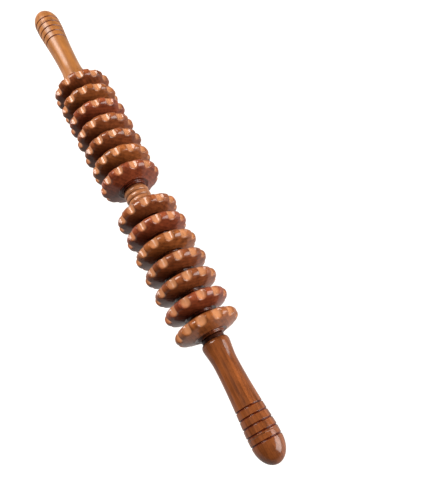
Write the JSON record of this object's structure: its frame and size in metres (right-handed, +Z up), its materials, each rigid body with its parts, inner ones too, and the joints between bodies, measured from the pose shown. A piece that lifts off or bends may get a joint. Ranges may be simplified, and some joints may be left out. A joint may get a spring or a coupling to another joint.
{
  "type": "wooden roller massager",
  "caption": "Hand-held massage roller: notched wooden wheels spin freely on a dowel in two groups with a beaded spacer between, and a grooved turned handle at each end.",
  "frame": {"origin": "middle of the dowel's axis, half way between the two groups of wheels", "axes": "+X along the dowel towards the right handle, +Z up when the roller lies on a table, +Y across"},
  "size_m": [0.4658, 0.052, 0.052],
  "materials": {
    "handle_wood": "turned beech, stained chestnut and lacquered to a gloss, with burnt-in grooves",
    "wheel_wood": "turned beech, stained red-brown and lacquered to a gloss",
    "spacer_wood": "turned beech, stained light chestnut and lacquered",
    "dark_collar": "turned beech, stained dark brown and lacquered",
    "pale_dowel": "plain beech dowel, waxed"
  },
  "bodies": {
    "shaft_assembly": {"dowel": "pale_dowel", "left_handle": "handle_wood", "right_handle": "handle_wood", "left_collar": "dark_collar", "right_collar": "dark_collar", "centre_spacer": "spacer_wood"},
    "left_wheel_1": {"left_wheel_1": "wheel_wood"},
    "left_wheel_2": {"left_wheel_2": "wheel_wood"},
    "left_wheel_3": {"left_wheel_3": "wheel_wood"},
    "left_wheel_4": {"left_wheel_4": "wheel_wood"},
    "left_wheel_5": {"left_wheel_5": "wheel_wood"},
    "left_wheel_6": {"left_wheel_6": "wheel_wood"},
    "left_wheel_7": {"left_wheel_7": "wheel_wood"},
    "right_wheel_1": {"right_wheel_1": "wheel_wood"},
    "right_wheel_2": {"right_wheel_2": "wheel_wood"},
    "right_wheel_3": {"right_wheel_3": "wheel_wood"},
    "right_wheel_4": {"right_wheel_4": "wheel_wood"},
    "right_wheel_5": {"right_wheel_5": "wheel_wood"},
    "right_wheel_6": {"right_wheel_6": "wheel_wood"},
    "right_wheel_7": {"right_wheel_7": "wheel_wood"}
  },
  "joints": [
    {"name": "left_wheel_1_spin", "type": "hinge", "parent": "shaft_assembly", "child": "left_wheel_1", "pos_m": [-0.01795, 0, 0], "axis": [1, 0, 0], "continuous": true},
    {"name": "left_wheel_2_spin", "type": "hinge", "parent": "shaft_assembly", "child": "left_wheel_2", "pos_m": [-0.03575, 0, 0], "axis": [1, 0, 0], "continuous": true},
    {"name": "left_wheel_3_spin", "type": "hinge", "parent": "shaft_assembly", "child": "left_wheel_3", "pos_m": [-0.05355, 0, 0], "axis": [1, 0, 0], "continuous": true},
    {"name": "left_wheel_4_spin", "type": "hinge", "parent": "shaft_assembly", "child": "left_wheel_4", "pos_m": [-0.07135, 0, 0], "axis": [1, 0, 0], "continuous": true},
    {"name": "left_wheel_5_spin", "type": "hinge", "parent": "shaft_assembly", "child": "left_wheel_5", "pos_m": [-0.08915, 0, 0], "axis": [1, 0, 0], "continuous": true},
    {"name": "left_wheel_6_spin", "type": "hinge", "parent": "shaft_assembly", "child": "left_wheel_6", "pos_m": [-0.10695, 0, 0], "axis": [1, 0, 0], "continuous": true},
    {"name": "left_wheel_7_spin", "type": "hinge", "parent": "shaft_assembly", "child": "left_wheel_7", "pos_m": [-0.12475, 0, 0], "axis": [1, 0, 0], "continuous": true},
    {"name": "right_wheel_1_spin", "type": "hinge", "parent": "shaft_assembly", "child": "right_wheel_1", "pos_m": [0.01795, 0, 0], "axis": [1, 0, 0], "continuous": true},
    {"name": "right_wheel_2_spin", "type": "hinge", "parent": "shaft_assembly", "child": "right_wheel_2", "pos_m": [0.03575, 0, 0], "axis": [1, 0, 0], "continuous": true},
    {"name": "right_wheel_3_spin", "type": "hinge", "parent": "shaft_assembly", "child": "right_wheel_3", "pos_m": [0.05355, 0, 0], "axis": [1, 0, 0], "continuous": true},
    {"name": "right_wheel_4_spin", "type": "hinge", "parent": "shaft_assembly", "child": "right_wheel_4", "pos_m": [0.07135, 0, 0], "axis": [1, 0, 0], "continuous": true},
    {"name": "right_wheel_5_spin", "type": "hinge", "parent": "shaft_assembly", "child": "right_wheel_5", "pos_m": [0.08915, 0, 0], "axis": [1, 0, 0], "continuous": true},
    {"name": "right_wheel_6_spin", "type": "hinge", "parent": "shaft_assembly", "child": "right_wheel_6", "pos_m": [0.10695, 0, 0], "axis": [1, 0, 0], "continuous": true},
    {"name": "right_wheel_7_spin", "type": "hinge", "parent": "shaft_assembly", "child": "right_wheel_7", "pos_m": [0.12475, 0, 0], "axis": [1, 0, 0], "continuous": true}
  ]
}
